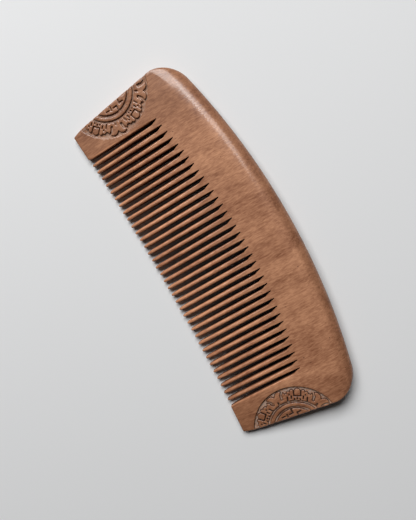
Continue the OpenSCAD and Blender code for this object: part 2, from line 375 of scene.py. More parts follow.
class Rim:
    """The board's closed outline with, at each point, how its edge is rounded."""

    def __init__(self, plan):
        self.points, self.inset, self.drop, self.open = [], [], [], []
        self.plan = plan
        self.add([plan.shoulder], plan.edge)
        self.add(*self.faded_corner(1))
        start = angle_of(plan.spine_touch, plan.spine_c)
        spine = arc(plan.spine_c, plan.spine_r, start, math.pi - start, SPINE_POINTS)[1:-1]
        self.add(spine, plan.rim, plan.top_z(spine[:, 1]) / 2)
        self.add(*self.faded_corner(-1))
        self.add([plan.shoulder * (-1, 1)], plan.edge)
        for points, inset in self.foot(-1, plan.gap_x(0)):
            self.add(points, inset)
        self.walls_and_seam()
        for points, inset in reversed(self.foot(1, plan.gap_x(plan.gap_n - 1))):
            self.add(points[::-1], inset)
        self.points = np.array(self.points)
        self.inset = np.maximum(np.array(self.inset), OPEN_EDGE)
        self.drop = np.array(self.drop)

    def add(self, points, inset, drop=None, is_open=False):
        """Adds points, each with its rounding's width and depth."""
        count = len(points)
        inset = np.broadcast_to(inset, count)
        drop = inset if drop is None else np.broadcast_to(drop, count)
        self.points += [tuple(p) for p in points]
        self.inset += list(inset)
        self.drop += list(drop)
        self.open += [is_open] * count

    def faded_corner(self, side):
        """A corner's arc, whose rounding fades from the spine to the end."""
        plan = self.plan
        start, end = (angle_of(touch, plan.corner_c) for touch in (plan.end_touch, plan.spine_touch))
        points = arc(plan.corner_c, plan.corner_r, start, end, CORNER_POINTS)
        fade = smooth(np.linspace(-0.16, 1.1, len(points))) ** 0.75
        inset = plan.edge + (plan.rim - plan.edge) * np.sqrt(fade)
        drop = plan.edge + (plan.top_z(points[:, 1]) / 2 - plan.edge) * fade
        if side < 0:
            points = points[::-1] * (-1, 1)
            inset, drop = inset[::-1], drop[::-1]
        return points, inset, drop

    def foot(self, side, x):
        """A solid end's foot, from its nose to the wall of the outer gap at x, with its roundings."""
        plan = self.plan
        shoulder, nose = plan.shoulder * (side, 1), plan.nose * (side, 1)
        wall_x = x + side * plan.mouth_w / 2
        foot = (wall_x, plan.tips_y(wall_x))
        wide = (x + side * plan.gap_end_w / 2, plan.tips_y(x) + plan.point_l)
        return [
            (rounded_corner(shoulder, nose, foot, NOSE_R), plan.edge),
            (rounded_corner(nose, foot, wide, FOOT_R), plan.wall_edge),
            ([wide], plan.wall_edge),
        ]

    def walls_and_seam(self):
        """Up the first gap's wall, along the line where the teeth's own mesh joins the board,
        and down the last gap's saw cut and wall."""
        plan = self.plan
        lefts = np.array([plan.gap_x(k) - plan.gap_w / 2 for k in range(plan.gap_n)])
        first, last = lefts[0], lefts[-1]
        opened = plan.kerf_l + plan.shoulder_l
        self.add([plan.under_root(first, opened)], plan.wall_edge)
        self.add([plan.under_root(first, plan.kerf_l)], plan.wall_edge / 2)
        seam = zip(*plan.under_root(lefts, -SEAM))
        self.add([plan.under_root(first, 0), *seam, plan.under_root(last, 0)], OPEN_EDGE, 0.0, is_open=True)
        self.open[-1] = False
        self.add([plan.under_root(last + plan.kerf_root, 0)], OPEN_EDGE, 0.0)
        self.add([plan.under_root(last + plan.kerf_w, plan.kerf_l)], plan.wall_edge / 2)
        self.add([plan.under_root(last + plan.gap_w, opened)], plan.wall_edge)


def edge_drop(rim, points):
    """How far the rounded edges lie below the plane face, at any points of the plan."""
    closed = ~np.array(rim.open)
    (start, end), (inset_a, inset_b), (drop_a, drop_b) = (
        (values[closed], np.roll(values, -1, axis=0)[closed]) for values in (rim.points, rim.inset, rim.drop)
    )
    along = end - start
    squared = np.maximum((along**2).sum(1), 1e-12)
    result = np.zeros(len(points))
    batch = 4000  # points worked on at a time, which limits the memory in use
    for first in range(0, len(points), batch):
        offset = points[first : first + batch, None] - start
        t = np.clip((offset * along).sum(2) / squared, 0, 1)
        away = np.linalg.norm(offset - t[..., None] * along, axis=2)
        inset = inset_a + (inset_b - inset_a) * t
        drop = drop_a + (drop_b - drop_a) * t
        depth = np.clip(1 - away / inset, 0, 1)
        result[first : first + batch] =(drop * (1 - (1 - depth**SECTION) ** (1 / SECTION))).max(1)
    return result


def inside(outline, points):
    """Which points lie inside a closed outline."""
    result = np.zeros(len(points), bool)
    start, end = outline, np.roll(outline, -1, axis=0)
    for a, b in zip(start, end):
        if a[1] == b[1]:
            continue
        crossed = (a[1] > points[:, 1]) != (b[1] > points[:, 1])
        result ^= crossed & (points[:, 0] < a[0] + (points[:, 1] - a[1]) * (b[0] - a[0]) / (b[1] - a[1]))
    return result


# -------------------------------------------------------------- relief


def polar(radius, degrees):
    """A point given by its radius and angle."""
    return radius * np.array([math.cos(math.radians(degrees)), math.sin(math.radians(degrees))])


def to_bar(points, row, turn, mirrored):
    """Distance of points to a bar with round ends; less than 0 inside it."""
    angle_a, radius_a, angle_b, radius_b, half_w = row
    a = polar(radius_a, turn + mirrored * angle_a)
    b = polar(radius_b, turn + mirrored * angle_b)
    along = b - a
    t = np.clip((points - a) @ along / (along @ along), 0, 1)
    return np.linalg.norm(points - a - t[..., None] * along, axis=-1) - half_w


def to_bars(points, turn, step, alone, paired):
    """Distance of points to the nearest of a border's bars."""
    nearest = np.full(points.shape[:-1], FAR)
    for k in (-1, 0, 1):
        for row in alone:
            nearest = np.minimum(nearest, to_bar(points, row, turn + k * step, 1))
        for row in paired:
            for mirrored in (1, -1):
                nearest = np.minimum(nearest, to_bar(points, row, turn + k * step, mirrored))
    return nearest


def to_band(r, inner, width):
    """Distance of points at a radius to a plain ring; less than 0 inside it."""
    return np.abs(r - inner - width / 2) - width / 2


class Roundel:
    """One carved roundel: where it is, and how far points lie inside what stands up in it."""

    def __init__(self, plan, sizes, side, beyond, turn):
        self.plan = plan
        self.side = side
        self.turn = turn
        self.step = math.degrees(sizes.petal_step)
        self.radius = sizes.radius * MM
        self.depth = sizes.depth * MM
        self.field_r = sizes.field_radius * MM
        self.ring = (sizes.ring_radius * MM, sizes.ring_width * MM)
        self.border = (sizes.border_radius * MM, sizes.border_width * MM)
        y = plan.spine_y - sizes.below_spine * MM
        self.centre = np.array([side * (plan.end_x(y) + beyond), y])

    def raised(self, points):
        """Signed distance into the raised wood, in millimetres."""
        # seen from the centre, with the first axis inward along the comb
        p = (points - self.centre) * (-self.side, 1)
        r = np.linalg.norm(p, axis=-1)
        lobes = to_bars(p, self.turn, self.step, LOBES_ALONE, LOBES_PAIRED)
        cuts = to_bars(p, self.turn, self.step, CUTS_ALONE, CUTS_PAIRED)
        border = np.maximum(np.minimum(to_band(r, *self.border), lobes), -cuts)
        field = r - self.field_r
        for across, along, slot_w, slot_l in SLOTS:
            q = np.abs(p - (along, across)) - (slot_l / 2, slot_w / 2)
            slot = np.linalg.norm(np.maximum(q, 0), axis=-1) + np.minimum(q.max(-1), 0)
            field = np.maximum(field, -slot)
        return -np.minimum.reduce([to_band(r, *self.ring), border, field, self.radius - r])

    def carved(self, points):
        """Depth of the carving at points of the plan, less right by the comb's end."""
        s = self.raised(points)
        inward = self.plan.end_d - (points * (self.side, 1)) @ self.plan.end_n
        deepest = END_SHARE + (1 - END_SHARE) * smooth(inward / END_RUN)
        return np.interp(s, CARVED_AT, CARVED_SHARE) * self.depth * deepest


def level_lines(values, level, origin, step):
    """Short lines along which values on a square grid pass a level."""
    above = values > level
    across = above[1:, :] != above[:-1, :]
    upward = above[:, 1:] != above[:, :-1]
    number = {}
    points = []

    def crossing(kind, i, j):
        if (kind, i, j) not in number:
            i2, j2 = (i + 1, j) if kind == 0 else (i, j + 1)
            t = (level - values[i, j]) / (values[i2, j2] - values[i, j])
            number[kind, i, j] = len(points)
            points.append((origin[0] + step * (i + (i2 - i) * t), origin[1] + step * (j + (j2 - j) * t)))
        return number[kind, i, j]

    lines = []
    sides = across[:, :-1].astype(int) + across[:, 1:] + upward[:-1, :] + upward[1:, :]
    for i, j in zip(*np.nonzero(sides)):
        low = [(0, i, j)] if across[i, j] else []
        high = [(0, i, j + 1)] if across[i, j + 1] else []
        left = [(1, i, j)] if upward[i, j] else []
        right = [(1, i + 1, j)] if upward[i + 1, j] else []
        ends = [crossing(*c) for c in low + left + high + right]
        if len(ends) == 2:
            lines.append(tuple(ends))
        elif (values[i : i + 2, j : j + 2].mean() > level) == above[i, j]:
            lines += [(ends[0], ends[3]), (ends[1], ends[2])]
        else:
            lines += [(ends[0], ends[2]), (ends[1], ends[3])]
    return points, lines


# ---------------------------------------------------------- board mesh


class Sheet:
    """Points and lines of the plan, gathered for one triangulated face."""

    def __init__(self):
        self.points, self.lines = [], []

    def add(self, points, lines=()):
        """Adds points, and lines between them given by their own numbers."""
        first = len(self.points)
        self.points += [tuple(map(float, p)) for p in points]
        self.lines += [(first + a, first + b) for a, b in lines]

    def triangles(self):
        """Triangles between the points that the outline's lines enclose, seen from above."""
        enclosed = 1
        made = delaunay_2d_cdt([Vector(p) for p in self.points], self.lines, [], enclosed, 1e-5)
        points, faces = np.array([tuple(p) for p in made[0]]), np.array(made[2])
        a, b, c = (points[faces[:, i]] for i in range(3))
        ab, ac = b - a, c - a
        if (ab[:, 0] * ac[:, 1] - ab[:, 1] * ac[:, 0]).sum() < 0:
            faces = faces[:, ::-1]
        return points, faces


def closed_line(count):
    """Lines from each of a ring of points to the next, by their numbers."""
    return [(i, (i + 1) % count) for i in range(count)]


def finer(rim, roundels):
    """The outline's points, closer together where the carving meets the edge."""
    points, inset, from_open = [], [], []
    for i, j in closed_line(len(rim.points)):
        a, b = rim.points[i], rim.points[j]
        length = np.linalg.norm(b - a)
        step = OUTLINE_STEP
        if not rim.open[i] and length > step:
            along = a + np.linspace(0, 1, 200)[:, None] * (b - a)
            near = min(np.linalg.norm(along - r.centre, axis=1).min() for r in roundels)
            if near < roundels[0].radius and abs(b[0] - a[0]) < length / 2:
                step = CARVED_STEP
        pieces = 1 if rim.open[i] else max(1, math.ceil(length / step))
        for t in np.arange(pieces) / pieces:
            points.append(a + (b - a) * t)
            inset.append(rim.inset[i] + (rim.inset[j] - rim.inset[i]) * t)
            from_open.append(rim.open[i])
    return np.array(points), np.array(inset), np.array(from_open)


def inward(points):
    """Mitred directions into the board at each point of its outline."""
    before = points - np.roll(points, 1, axis=0)
    after = np.roll(points, -1, axis=0) - points
    normals = []
    for d in (before, after):
        d = d / np.linalg.norm(d, axis=1)[:, None]
        normals.append(np.stack([-d[:, 1], d[:, 0]], 1))
    total = normals[0] + normals[1]
    return total / np.maximum(1 + (normals[0] * normals[1]).sum(1), 0.5)[:, None]


def add_rings(sheet, points, inset, from_open):
    """Rings inside the outline, on which the rounded edges turn."""
    way = inward(points)
    seamed = from_open | np.roll(from_open, 1)
    last = round(90 / RING_TURN)
    for level in range(1, last + 1):
        depth = inset * (1 - math.cos(math.radians(RING_TURN * level)))
        if level == last:
            depth = depth + LAST_RING
        kept = ~seamed & (inset > THIN_EDGE) & ((inset > WIDE_EDGE) | (level % 3 == 1))
        ring = points + way * depth[:, None]
        number = np.cumsum(kept) - 1
        lines = [(number[a], number[b]) for a, b in closed_line(len(points)) if kept[a] and kept[b]]
        sheet.add(ring[kept], lines)


def coarse_points(rim, plan, roundels):
    """Loose points over the plane part of a face."""
    xs = np.arange(-plan.half_l, plan.half_l, PLANE_STEP)
    ys = np.arange(plan.low_y, plan.spine_y, PLANE_STEP)
    grid = np.stack(np.meshgrid(xs, ys), -1).reshape(-1, 2)
    grid = grid[inside(rim.points, grid)]
    clear = np.full(len(grid), FAR)
    for a, b, inset in zip(rim.points, np.roll(rim.points, -1, axis=0), rim.inset):
        along = b - a
        t = np.clip((grid - a) @ along / max(along @ along, 1e-9), 0, 1)
        clear = np.minimum(clear, np.linalg.norm(grid - a - t[:, None] * along, axis=1) - inset)
    for roundel in roundels:
        clear = np.minimum(clear, np.linalg.norm(grid - roundel.centre, axis=1) - roundel.radius)
    return grid[clear > PLANE_CLEAR]


def add_relief(sheet, rim, roundel):
    """Lines along the section of every carved edge, and points between them."""
    reach = roundel.radius + RELIEF_CLEAR
    low = roundel.centre - reach
    steps = RELIEF_STEP * np.arange(int(2 * reach / RELIEF_STEP))
    grid = np.stack(np.meshgrid(low[0] + steps, low[1] + steps, indexing="ij"), -1)
    values = roundel.raised(grid)
    for level in CARVED_AT:
        points, lines = level_lines(values, level, low, RELIEF_STEP)
        if points:
            within = inside(rim.points, np.array(points))
            used = [(a, b) for a, b in lines if within[a] or within[b]]
            numbers = sorted({n for line in used for n in line})
            place = {n: i for i, n in enumerate(numbers)}
            sheet.add([points[n] for n in numbers], [(place[a], place[b]) for a, b in used])
    # of the grid, every fifth point is used where it is well clear of those lines
    spread = grid[::5, ::5].reshape(-1, 2)
    values = values[::5, ::5].reshape(-1)
    loose = inside(rim.points, spread) & ((values > 0.45) | (values < -0.5))
    loose &= np.linalg.norm(spread - roundel.centre, axis=1) < reach
    sheet.add(spread[loose])


def board_mesh(plan, roundels):
    """The whole board but for its teeth, as points and faces in millimetres."""
    rim = Rim(plan)
    points, inset, from_open = finer(rim, roundels)
    top = Sheet()
    top.add(points, closed_line(len(points)))
    add_rings(top, points, inset, from_open)
    top.add(coarse_points(rim, plan, roundels))
    for roundel in roundels:
        add_relief(top, rim, roundel)
    top_points, top_faces = top.triangles()

    border = edge_loop(top_faces)
    bottom = Sheet()
    bottom.add(top_points[border], closed_line(len(border)))
    add_rings(bottom, points, inset, from_open)
    bottom.add(coarse_points(rim, plan, []))
    low_points, low_faces = bottom.triangles()

    height = plan.top_z(top_points[:, 1]) - edge_drop(rim, top_points)
    for roundel in roundels:
        near = np.linalg.norm(top_points - roundel.centre, axis=1) < roundel.radius + RELIEF_CLEAR
        height[near] -= roundel.carved(top_points[near])
    low_height = edge_drop(rim, low_points)
    below = points_below(top_points, border, low_points, low_faces)
    for a, b in zip(border, below):
        if height[a] - low_height[b] < SHARPEST:
            height[a] = low_height[b] = (height[a] + low_height[b]) / 2
    verts = [(*p, z) for p, z in zip(top_points, height)]
    verts += [(*p, z) for p, z in zip(low_points, low_height)]
    first = len(top_points)
    faces = [tuple(f) for f in top_faces] + [tuple(first + f[::-1]) for f in low_faces]
    for i, j in closed_line(len(border)):
        a, b = border[i], border[j]
        if not (on_seam(plan, top_points[a]) and on_seam(plan, top_points[b])):
            faces.append((a, first + below[i], first + below[j], b))
    return verts, faces


def edge_loop(faces):
    """The numbers of the points round a sheet, anticlockwise from above."""
    sides = {}
    for f in faces:
        for a, b in ((f[0], f[1]), (f[1], f[2]), (f[2], f[0])):
            sides[a, b] = True
    following = {a: b for a, b in sides if (b, a) not in sides}
    loop = [next(iter(following))]
    while following[loop[-1]] != loop[0] and len(loop) < len(following):
        loop.append(following[loop[-1]])
    if len(loop) != len(following) or following[loop[-1]] != loop[0]:
        raise RuntimeError(f"the board's outline has {len(following)} edges, and one loop has {len(loop)}")
    return loop


def on_seam(plan, point):
    """Whether a point lies on the line where the teeth's mesh joins the board."""
    x, y = point
    first, last = plan.gap_x(0) - plan.gap_w / 2, plan.gap_x(plan.gap_n - 1) - plan.gap_w / 2
    return first - NEAR < x < last + NEAR and y > plan.root_y(x) - NEAR


def points_below(top_points, border, low_points, low_faces):
    """The underside's points that lie straight below the top's edge."""
    place = {tuple(np.round(low_points[n], 4)): n for n in edge_loop(low_faces)}
    return [place[tuple(np.round(top_points[n], 4))] for n in border]


# ---------------------------------------------------------- tooth mesh

# Sections of the drawn tooth. Each has the width of its rounding, as a share
# of the half width, and the rounding's depth. Before them, a root section has
# its distance below the root line, a body section its share of the way to the
# tip, and a tip section its distance above the tip and the share of the width
# that is left there. A tip section ends with how far the nose has dropped.
ROOT_SECTIONS = (
    (0.0, 0.0, 0.0),
    (1.2, 0.06, 0.05),
    (2.4, 0.15, 0.13),
    (2.85, 0.21, 0.18),
    (3.3, 0.28, 0.22),
    (4.2, 0.36, 0.28),
)
BODY_SECTIONS = (
    (0.08, 0.50, 0.36),
    (0.18, 0.68, 0.50),
    (0.32, 0.82, 0.64),
    (0.50, 0.90, 0.74),
    (0.70, 0.94, 0.80),
    (0.88, 0.94, 0.82),
)
TIP_SECTIONS = (
    (4.20, 1.00, 0.94, 0.82, 0.00),
    (3.20, 1.00, 0.94, 0.80, 0.05),
    (2.20, 0.93, 0.94, 0.74, 0.14),
    (1.30, 0.83, 0.94, 0.66, 0.28),
    (0.70, 0.73, 0.94, 0.58, 0.42),
    (0.36, 0.61, 0.94, 0.48, 0.56),
    (0.15, 0.42, 0.94, 0.36, 0.74),
    (0.04, 0.22, 0.94, 0.22, 0.98),
    (0.00, 0.08, 0.94, 0.07, 1.26),
)
TURN_STEPS = 4  # faces across each of a tooth's rounded edges
RANDOMS = ("lean", "uneven")  # what differs from tooth to tooth


def tooth_sections(plan):
    """Sections of the drawn tooth: distance below the root line, both walls, rounding and nose."""
    sections = []
    half = plan.gap_w / 2
    right = plan.pitch - half
    cut_at = (0, plan.kerf_l, plan.kerf_l + plan.shoulder_l)
    cut_width = (plan.kerf_root, plan.kerf_w, plan.gap_w)
    for down, spread, depth in ROOT_SECTIONS:
        left = -half + float(np.interp(down, cut_at, cut_width))
        sections.append((down, left, right, spread * (right - left) / 2, depth, 0.0))
    straight = UNIT - KEPT - plan.point_l
    widen = (plan.gap_end_w - plan.gap_w) / 2
    middle = plan.pitch / 2
    for along, spread, depth in BODY_SECTIONS:
        down = KEPT + (UNIT - 2 * KEPT) * along
        width = middle - half - widen * down / straight
        sections.append((down, middle - width, middle + width, spread * width, depth, 0.0))
    end = middle - plan.gap_end_w / 2
    for above, narrow, spread, depth, nose in TIP_SECTIONS:
        width = end * narrow
        sections.append((UNIT - above, middle - width, middle + width, spread * width, depth, nose))
    return sections


def tooth_mesh(plan):
    """One step of the row about a gap's middle, as points and faces in millimetres.
    A point's height says only whether it is on top, and how far it lies below the face."""
    verts, faces, rows = [], [], []
    turns = [math.radians(90.0 * i / TURN_STEPS) for i in range(TURN_STEPS + 1)]
    for down, left, right, spread, depth, nose in tooth_sections(plan):
        row = {}
        for side in (1, -1):
            if spread == 0:
                start = len(verts)
                verts += [(left, -down, side * CODE), (right, -down, side * CODE)]
                row[side] = [start] * len(turns) + [start + 1] * len(turns)
                continue
            across = [left + spread * (1 - math.cos(t)) for t in turns]
            across += [right - spread * (1 - math.cos(t)) for t in reversed(turns)]
            drops = [depth * (1 - math.sin(t)) for t in turns]
            drops += drops[::-1]
            row[side] = list(range(len(verts), len(verts) + len(across)))
            verts += [(x, -down, side * (CODE - nose - o)) for x, o in zip(across, drops)]
        rows.append(row)
    for a, b in zip(rows, rows[1:]):
        for side in (1, -1):
            for i in range(len(a[side]) - 1):
                face = [a[side][i], b[side][i], b[side][i + 1], a[side][i + 1]]
                faces.append(face if side == 1 else face[::-1])
        faces.append([a[1][0], a[-1][0], b[-1][0], b[1][0]])
        faces.append([b[1][-1], b[-1][-1], a[-1][-1], a[1][-1]])
    tip = rows[-1]
    for i in range(len(tip[1]) - 1):
        faces.append([tip[1][i], tip[-1][i], tip[-1][i + 1], tip[1][i + 1]])
    add_root(plan, verts, faces, rows[0])
    return verts, [f for f in map(distinct, faces) if len(f) > 2]


def add_root(plan, verts, faces, row):
    """The wood above a tooth and its saw cut, up to the board's own mesh."""
    left, right = -plan.gap_w / 2, plan.pitch - plan.gap_w / 2
    ends = {}
    for side in (1, -1):
        start = len(verts)
        verts += [(left, SEAM, side * CODE), (left, 0.0, side * CODE), (right, SEAM, side * CODE)]
        ends[side] = start + 1
        face = [start, start + 1, row[side][0], row[side][-1], start + 2]
        faces.append(face if side == 1 else face[::-1])
    faces.append([ends[1], ends[-1], row[-1][0], row[1][0]])


def distinct(face):
    """A face without the corners that it names twice."""
    return [n for i, n in enumerate(face) if n not in face[:i]]


def new_mesh(name, verts, faces):
    """A mesh in metres from points in millimetres."""
    mesh = bpy.data.meshes.new(name)
    mesh.from_pydata([(x / MM, y / MM, z / MM) for x, y, z in verts], [], [tuple(map(int, f)) for f in faces])
    mesh.validate()
    return mesh


def new_object(name, data):
    """An object in the scene, at the origin."""
    made = bpy.data.objects.new(name, data)
    bpy.context.scene.collection.objects.link(made)
    return made


# ------------------------------------------------------ Geometry Nodes


class Term:
    """A value in a node tree, for sums written as plain arithmetic."""

    def __init__(self, calc, socket):
        self.calc = calc
        self.socket = socket

    def __add__(self, other):
        return self.calc.math("ADD", self, other)

    def __sub__(self, other):
        return self.calc.math("SUBTRACT", self, other)

    def __mul__(self, other):
        return self.calc.math("MULTIPLY", self, other)

    def __truediv__(self, other):
        return self.calc.math("DIVIDE", self, other)

    def __lt__(self, other):
        return self.calc.math("LESS_THAN", self, other)

    def __neg__(self):
        return self * -1.0

    def __abs__(self):
        return self.calc.math("ABSOLUTE", self)


class Calc:
    """Writes the nodes of a tree, with terms or plain values as their inputs."""

    def __init__(self, tree):
        self.tree = tree
        self.made = 0

    def node(self, kind, inputs=None, **settings):
        """A new node to the right of the last, with its settings and then its inputs."""
        node = self.tree.nodes.new(kind)
        node.location = (180 * (self.made % 12), -220 * (self.made // 12))
        self.made += 1
        for name, value in settings.items():
            setattr(node, name, value)
        for name, value in (inputs or {}).items():
            self.feed(node.inputs[name], value)
        return node

    def feed(self, socket, value):
        """Links a term, or a list of them, to an input, or sets a plain value on it."""
        if isinstance(value, list):
            for each in value:
                self.feed(socket, each)
        elif isinstance(value, Term):
            self.tree.links.new(value.socket, socket)
        else:
            socket.default_value = value

    def value(self, kind, inputs=None, output=0, **settings):
        """One output of a new node."""
        return Term(self, self.node(kind, inputs, **settings).outputs[output])

    def outputs(self, kind, inputs=None, **settings):
        """All outputs of a new node, by name."""
        return {s.name: Term(self, s) for s in self.node(kind, inputs, **settings).outputs}

    def math(self, operation, *terms):
        """One step of arithmetic."""
        return self.value("ShaderNodeMath", dict(enumerate(terms)), operation=operation)

    def split(self, vector):
        """The three parts of a vector."""
        return list(self.outputs("ShaderNodeSeparateXYZ", {0: vector}).values())

    def vector(self, *parts):
        """A vector made of its parts."""
        return self.value("ShaderNodeCombineXYZ", dict(enumerate(parts)))


# The input that takes each kind of value; a term is a place or a direction
INPUT_KINDS = (
    (bpy.types.Object, "NodeSocketObject"),
    (bpy.types.Material, "NodeSocketMaterial"),
    (int, "NodeSocketInt"),
    (float, "NodeSocketFloat"),
    ((Vector, Term), "NodeSocketVector"),
    (tuple, "NodeSocketColor"),
)


def add_inputs(tree, values):
    """Adds a named input to a tree for each value, with that value as its default."""
    for name, value in values.items():
        kind = next(kind for types, kind in INPUT_KINDS if isinstance(value, types))
        socket = tree.interface.new_socket(name, in_out="INPUT", socket_type=kind)
        if not isinstance(value, (Term, bpy.types.ID)):
            socket.default_value = value


def teeth_tree(values):
    """Node tree that repeats the drawn tooth, bends the row to its root and tip lines,
    gives it the board's wedge and welds it to the board. Each value has an input."""
    tree = bpy.data.node_groups.new("Row of teeth", "GeometryNodeTree")
    tree.interface.new_socket("Geometry", in_out="INPUT", socket_type="NodeSocketGeometry")
    add_inputs(tree, values)
    tree.interface.new_socket("Geometry", in_out="OUTPUT", socket_type="NodeSocketGeometry")
    calc = Calc(tree)
    given = calc.outputs("NodeGroupInput")

    line = {"Count": given["Count"], "Start Location": calc.vector(given["First"])}
    line["Offset"] = calc.vector(given["Pitch"])
    points = calc.value("GeometryNodeMeshLine", line, mode="OFFSET")
    stored = {}
    for extra, name in enumerate(RANDOMS):
        bounds = {2: -1.0, 3: 1.0, "Seed": given["Seed"] + extra}
        random = calc.value("FunctionNodeRandomValue", bounds, 1, data_type="FLOAT")
        store = {"Geometry": points, "Name": name, "Value": random}
        points = calc.value("GeometryNodeStoreNamedAttribute", store, data_type="FLOAT", domain="POINT")
        stored[name] = calc.value("GeometryNodeInputNamedAttribute", {"Name": name}, data_type="FLOAT")

    drawn = calc.value("GeometryNodeObjectInfo", {"Object": given["Tooth"]}, "Geometry")
    row = calc.value("GeometryNodeInstanceOnPoints", {"Points": points, "Instance": drawn})
    row = calc.value("GeometryNodeRealizeInstances", {"Geometry": row})
    x, y, mark = calc.split(calc.value("GeometryNodeInputPosition"))

    def on_circle(across, name):
        radius = given[f"{name} Radius"]
        return given[f"{name} Centre Y"] + calc.math("SQRT", radius * radius - across * across)

    kept, drawn_l = given["Kept Length"], given["Drawn Length"]
    along = (-y - kept) / (drawn_l - kept * 2.0)
    along = calc.math("MAXIMUM", calc.math("MINIMUM", along, 1.0), 0.0)
    upper = on_circle(x - given["Root Centre X"], "Root") - kept
    lower = on_circle(x, "Tips") + kept + stored["uneven"] * given["Unevenness"]
    above = calc.math("MAXIMUM", y + kept, 0.0)
    past = calc.math("MINIMUM", y + drawn_l - kept, 0.0)
    new_x = x + along * along * stored["lean"] * given["Lean"]
    new_y = upper + along * (lower - upper) + above + past
    side = calc.math("SIGN", mark)
    thick = new_y * given["Slope"] + given["Middle Thickness"]
    new_z = thick * (side * 0.5 + 0.5) - side * (given["Mark"] - abs(mark))
    place = calc.vector(new_x, new_y, new_z)
    row = calc.value("GeometryNodeSetPosition", {"Geometry": row, "Position": place})

    comb = calc.value("GeometryNodeJoinGeometry", {"Geometry": [row, given["Geometry"]]})
    comb = calc.value("GeometryNodeMergeByDistance", {"Geometry": comb, "Distance": WELD})
    comb = calc.value("GeometryNodeSetShadeSmooth", {"Geometry": comb})
    comb = calc.value("GeometryNodeSetMaterial", {"Geometry": comb, "Material": given["Material"]})
    calc.node("NodeGroupOutput", {"Geometry": comb})
    return tree


def set_inputs(modifier, values):
    """Sets a modifier's inputs by name, before its object is first evaluated."""
    sockets = {s.name: s.identifier for s in modifier.node_group.interface.items_tree if s.in_out == "INPUT"}
    for name, value in values.items():
        modifier[sockets[name]] = value


def settled(made, name):
    """A plain mesh object made of what an object's modifiers give."""
    depsgraph = bpy.context.evaluated_depsgraph_get()
    mesh = bpy.data.meshes.new_from_object(made.evaluated_get(depsgraph), depsgraph=depsgraph)
    mesh.name = name
    old = made.data
    bpy.data.objects.remove(made)
    bpy.data.meshes.remove(old)
    return new_object(name, mesh)


# ----------------------------------------------------------- materials


def place_group(calc, name, build, **values):
    """Builds a shader node group with a function, and places it with its inputs linked or set."""
    values = {key.replace("_", " "): value for key, value in values.items()}
    tree = bpy.data.node_groups.new(name, "ShaderNodeTree")
    add_inputs(tree, values)
    inner = Calc(tree)
    results = build(inner, inner.outputs("NodeGroupInput"))
    for key, term in results.items():
        kind = "NodeSocketColor" if term.socket.type == "RGBA" else "NodeSocketFloat"
        tree.interface.new_socket(key, in_out="OUTPUT", socket_type=kind)
    inner.node("NodeGroupOutput", results)
    return calc.outputs("ShaderNodeGroup", values, node_tree=tree)


def streaks(calc, place, across, along, detail=2.0, twist=0.0):
    """Noise drawn out along the teeth, given by how wide and long its marks are."""
    scale = (MM / across, MM / along, MM / across)
    drawn_out = calc.value("ShaderNodeMapping", {"Scale": scale, "Vector": place})
    noise = {"Vector": drawn_out, "Scale": 1.0, "Detail": detail, "Roughness": 0.55, "Distortion": twist}
    return calc.value("ShaderNodeTexNoise", noise)


def ramp(calc, value, low, high):
    """Stretches a value so that low becomes 0 and high becomes 1."""
    limits = {"Value": value, "From Min": low, "From Max": high}
    return calc.value("ShaderNodeMapRange", limits, interpolation_type="SMOOTHSTEP")


def blend_colours(calc, factor, first, second, kind="MIX"):
    """Mixes two colours, on the sockets that the Mix node keeps for them."""
    inputs = {0: factor, 6: first, 7: second}
    return calc.value("ShaderNodeMix", inputs, 2, data_type="RGBA", blend_type=kind)


def grain(calc, given):
    """Close-grained wood: broad figure, mottle, short fibres and dark flecks, and how far
    the wood darkens towards its two ends and its lower +X corner."""
    place = given["Place"]
    figure = ramp(calc, streaks(calc, place, 9.0, 42.0, 2.0, 0.6), 0.30, 0.70)
    cloud = ramp(calc, streaks(calc, place, 5.0, 7.0, 3.0, 0.4), 0.28, 0.72)
    fibre = ramp(calc, streaks(calc, place, 0.75, 6.5, 3.0), 0.32, 0.68)
    fine = ramp(calc, streaks(calc, place, 0.42, 2.4, 2.0), 0.32, 0.68)
    tone = figure * 0.28 + cloud * 0.17 + fibre * 0.26 + fine * 0.29
    wood = blend_colours(calc, tone, given["Dark"], given["Light"])
    pores = ramp(calc, streaks(calc, place, 0.30, 1.5, 1.0), 0.73, 0.83) * 0.45
    rare = ramp(calc, streaks(calc, place, 0.5, 1.6, 0.0), 0.84, 0.88)
    pores = calc.math("MAXIMUM", pores, rare)
    x, y, _ = calc.split(place)
    ends = ramp(calc, abs(x - 0.006), 0.052, 0.072) * 0.45
    foot = ramp(calc, x * 0.8 - y * 0.6, 0.046, 0.070) * 0.62
    return {
        "Colour": blend_colours(calc, pores, wood, given["Fleck"]),
        "Height": fibre * 0.5 + fine * 0.35 - pores,
        "Pores": pores,
        "Shade": calc.math("MAXIMUM", ends, foot),
    }


